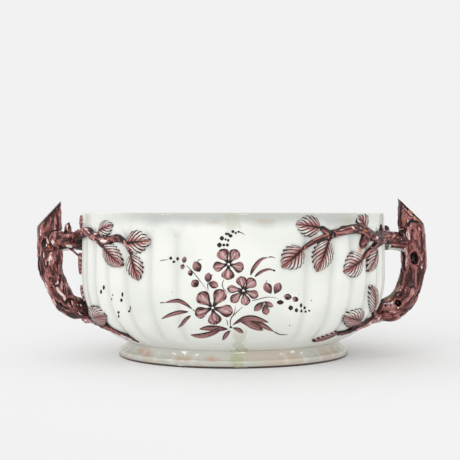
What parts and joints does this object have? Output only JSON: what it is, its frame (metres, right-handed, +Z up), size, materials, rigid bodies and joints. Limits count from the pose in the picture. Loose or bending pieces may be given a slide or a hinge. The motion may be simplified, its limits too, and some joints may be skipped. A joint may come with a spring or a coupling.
{
  "type": "tureen",
  "caption": "Open oval tureen in tin-glazed earthenware, ribbed at the ends, with upright branch handles, relief leaves and painted flower sprays, on a low foot ring.",
  "frame": {"origin": "on the surface it stands on, under the middle of the foot ring", "axes": "+X along the bowl's length towards the right handle, +Y away from the front panel, +Z up"},
  "size_m": [0.3889, 0.241, 0.1553],
  "materials": {
    "tin_glaze": "glossy",
    "bark_glaze": "glossy",
    "leaf_glaze": "glossy"
  },
  "bodies": {
    "root": {"bowl": "tin_glaze", "foot_ring": "tin_glaze", "left_branch_handle": "bark_glaze", "left_front_upper_twig": "bark_glaze", "left_front_lower_twig": "bark_glaze", "left_front_leaf_1": "leaf_glaze", "left_front_leaf_2": "leaf_glaze", "left_front_leaf_3": "leaf_glaze", "left_front_leaf_4": "leaf_glaze", "left_front_leaf_5": "leaf_glaze", "left_front_leaf_6": "leaf_glaze", "left_front_leaf_7": "leaf_glaze", "left_front_leaf_8": "leaf_glaze", "left_back_upper_twig": "bark_glaze", "left_back_lower_twig": "bark_glaze", "left_back_leaf_1": "leaf_glaze", "left_back_leaf_2": "leaf_glaze", "left_back_leaf_3": "leaf_glaze", "left_back_leaf_4": "leaf_glaze", "left_back_leaf_5": "leaf_glaze", "left_back_leaf_6": "leaf_glaze", "left_back_leaf_7": "leaf_glaze", "left_back_leaf_8": "leaf_glaze", "left_back_leaf_9": "leaf_glaze", "right_branch_handle": "bark_glaze", "right_front_upper_twig": "bark_glaze", "right_front_lower_twig": "bark_glaze", "right_front_leaf_1": "leaf_glaze", "right_front_leaf_2": "leaf_glaze", "right_front_leaf_3": "leaf_glaze", "right_front_leaf_4": "leaf_glaze", "right_front_leaf_5": "leaf_glaze", "right_front_leaf_6": "leaf_glaze", "right_front_leaf_7": "leaf_glaze", "right_front_leaf_8": "leaf_glaze", "right_front_leaf_9": "leaf_glaze", "right_back_upper_twig": "bark_glaze", "right_back_lower_twig": "bark_glaze", "right_back_leaf_1": "leaf_glaze", "right_back_leaf_2": "leaf_glaze", "right_back_leaf_3": "leaf_glaze", "right_back_leaf_4": "leaf_glaze", "right_back_leaf_5": "leaf_glaze", "right_back_leaf_6": "leaf_glaze", "right_back_leaf_7": "leaf_glaze", "right_back_leaf_8": "leaf_glaze"}
  },
  "joints": []
}
